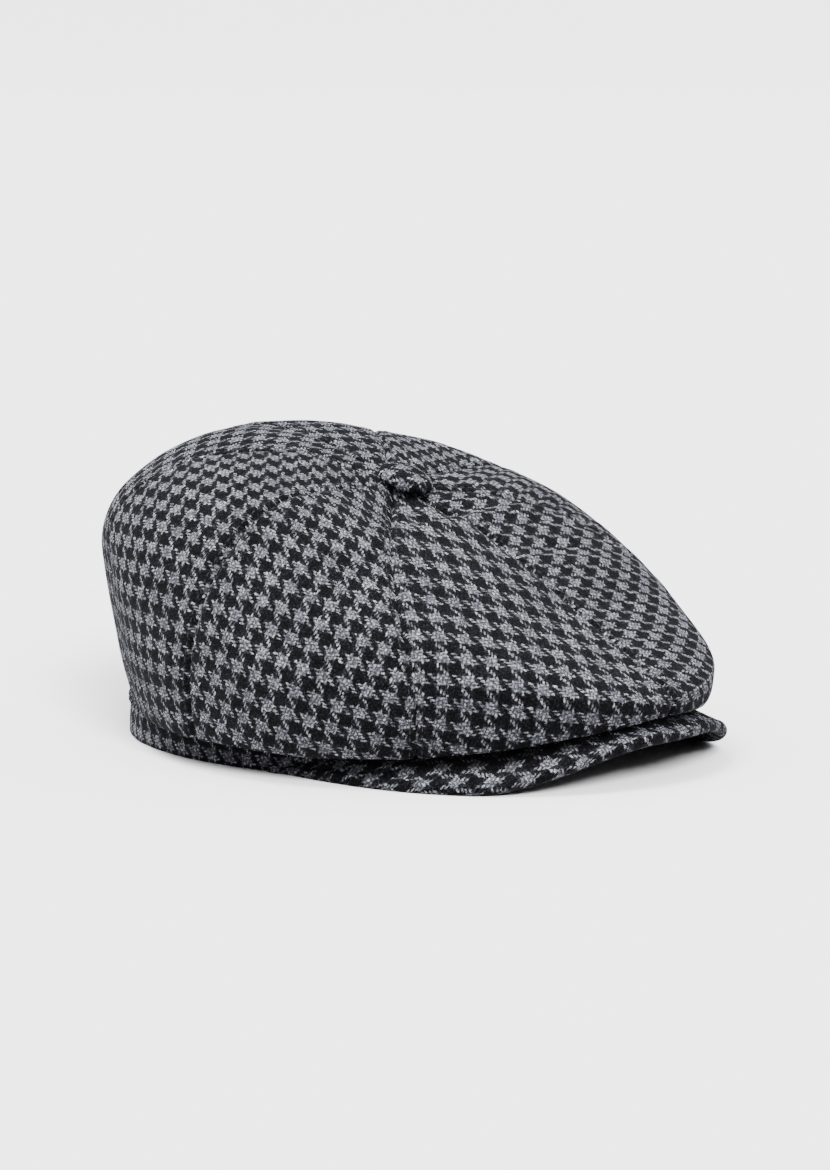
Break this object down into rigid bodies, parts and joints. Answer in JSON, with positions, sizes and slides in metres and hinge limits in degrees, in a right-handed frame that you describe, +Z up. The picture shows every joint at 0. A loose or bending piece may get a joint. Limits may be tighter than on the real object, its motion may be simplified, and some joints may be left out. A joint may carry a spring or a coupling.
{
  "type": "newsboy cap",
  "caption": "Panelled newsboy cap in houndstooth cloth: a full soft crown over a narrow band, with a short curved peak and a covered button on top.",
  "frame": {"origin": "on the surface the cap rests on, under the middle of the whole cap", "axes": "+Z up, front (the peak) towards -Y, wearer's right towards -X and wearer's left towards +X"},
  "size_m": [0.2125, 0.261, 0.1185],
  "materials": {
    "crown_houndstooth": "brushed wool houndstooth, matt",
    "band_houndstooth": "brushed wool houndstooth, matt",
    "peak_houndstooth": "brushed wool houndstooth, matt",
    "button_houndstooth": "brushed wool houndstooth, matt"
  },
  "bodies": {
    "root": {"crown_panel_front_left": "crown_houndstooth", "crown_panel_side_left": "crown_houndstooth", "crown_panel_rear_left": "crown_houndstooth", "crown_panel_back_left": "crown_houndstooth", "crown_panel_back_right": "crown_houndstooth", "crown_panel_rear_right": "crown_houndstooth", "crown_panel_side_right": "crown_houndstooth", "crown_panel_front_right": "crown_houndstooth", "band": "band_houndstooth", "peak": "peak_houndstooth", "button": "button_houndstooth"}
  },
  "joints": []
}
